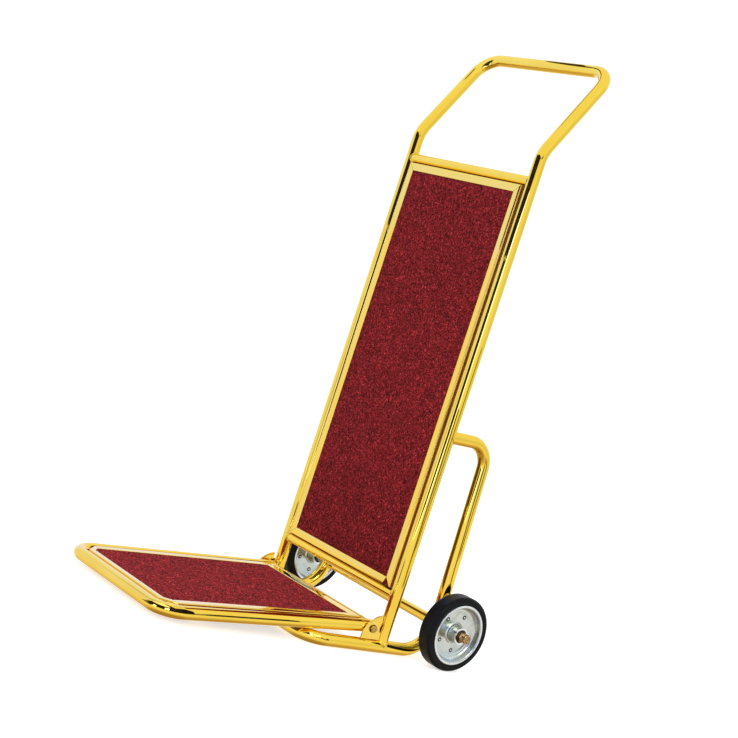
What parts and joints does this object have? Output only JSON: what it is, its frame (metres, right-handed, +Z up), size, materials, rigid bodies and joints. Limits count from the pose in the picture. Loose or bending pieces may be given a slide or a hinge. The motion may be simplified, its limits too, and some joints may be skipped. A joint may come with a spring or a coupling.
{
  "type": "folding luggage cart",
  "caption": "Bellhop-style folding luggage cart: a bent-tube upright with a handle, a carpeted back panel, a hinged carpeted platform and two wheels on an axle.",
  "frame": {"origin": "on the ground, under the middle of the cart's outline at rest", "axes": "+Z up, +X to the cart's right, -Y to its front, where the platform lies"},
  "size_m": [0.574, 0.7254, 1.2344],
  "materials": {
    "gold_tube": "polished, gold-plated",
    "gold_trim": "polished, gold-plated sheet",
    "zinc": "bright zinc plate",
    "copper_brass": "threaded, dull",
    "steel": "satin",
    "carpet": "cut-pile carpet, crimson with dark flecks",
    "plywood": "sealed plywood",
    "tyre": "solid black rubber",
    "nylon": "moulded nylon"
  },
  "bodies": {
    "frame": {"main_frame_tube": "gold_tube", "upper_cross_tube": "gold_tube", "lower_cross_tube": "gold_tube", "base_loop_tube": "gold_tube", "axle_tube": "gold_tube", "axle_rod": "copper_brass", "axle_spacer_right": "steel", "axle_washer_right": "steel", "axle_nut_right": "copper_brass", "axle_spacer_left": "steel", "axle_washer_left": "steel", "axle_nut_left": "copper_brass", "hinge_bracket_right": "gold_trim", "hinge_bracket_left": "gold_trim", "back_panel_board": "plywood", "back_panel_carpet": "carpet", "back_panel_trim_bottom": "gold_trim", "back_panel_trim_right": "gold_trim", "back_panel_trim_top": "gold_trim", "back_panel_trim_left": "gold_trim", "panel_tab_upper_right": "gold_tube", "panel_screw_upper_right": "steel", "panel_tab_upper_left": "gold_tube", "panel_screw_upper_left": "steel", "panel_tab_lower_right": "gold_tube", "panel_screw_lower_right": "steel", "panel_tab_lower_left": "gold_tube", "panel_screw_lower_left": "steel"},
    "platform": {"platform_frame_tube": "gold_tube", "platform_rear_tube": "gold_tube", "tube_plug_right": "nylon", "tube_plug_left": "nylon", "platform_board": "plywood", "platform_carpet": "carpet", "platform_trim_rear": "gold_trim", "platform_trim_left": "gold_trim", "platform_trim_front": "gold_trim", "platform_trim_right": "gold_trim", "deck_support_bar_front": "gold_tube", "deck_support_bar_rear": "gold_tube", "pivot_insert_right": "steel", "hinge_washer_right": "nylon", "hinge_bolt_right": "copper_brass", "pivot_insert_left": "steel", "hinge_washer_left": "nylon", "hinge_bolt_left": "copper_brass"},
    "right_wheel": {"tyre_right": "tyre", "rim_outer_right": "zinc", "rim_inner_right": "zinc", "hub_tube_right": "zinc", "bearing_outer_right": "nylon", "bearing_inner_right": "nylon"},
    "left_wheel": {"tyre_left": "tyre", "rim_outer_left": "zinc", "rim_inner_left": "zinc", "hub_tube_left": "zinc", "bearing_outer_left": "nylon", "bearing_inner_left": "nylon"}
  },
  "joints": [
    {"name": "platform_fold", "type": "hinge", "parent": "frame", "child": "platform", "pos_m": [0, 0.12305, 0.0476], "axis": [-1, 0, 0], "range_deg": [0, 94]},
    {"name": "right_wheel_spin", "type": "hinge", "parent": "frame", "child": "right_wheel", "pos_m": [0.2426, 0.28605, 0.0768], "axis": [1, 0, 0], "continuous": true},
    {"name": "left_wheel_spin", "type": "hinge", "parent": "frame", "child": "left_wheel", "pos_m": [-0.2426, 0.28605, 0.0768], "axis": [1, 0, 0], "continuous": true}
  ]
}
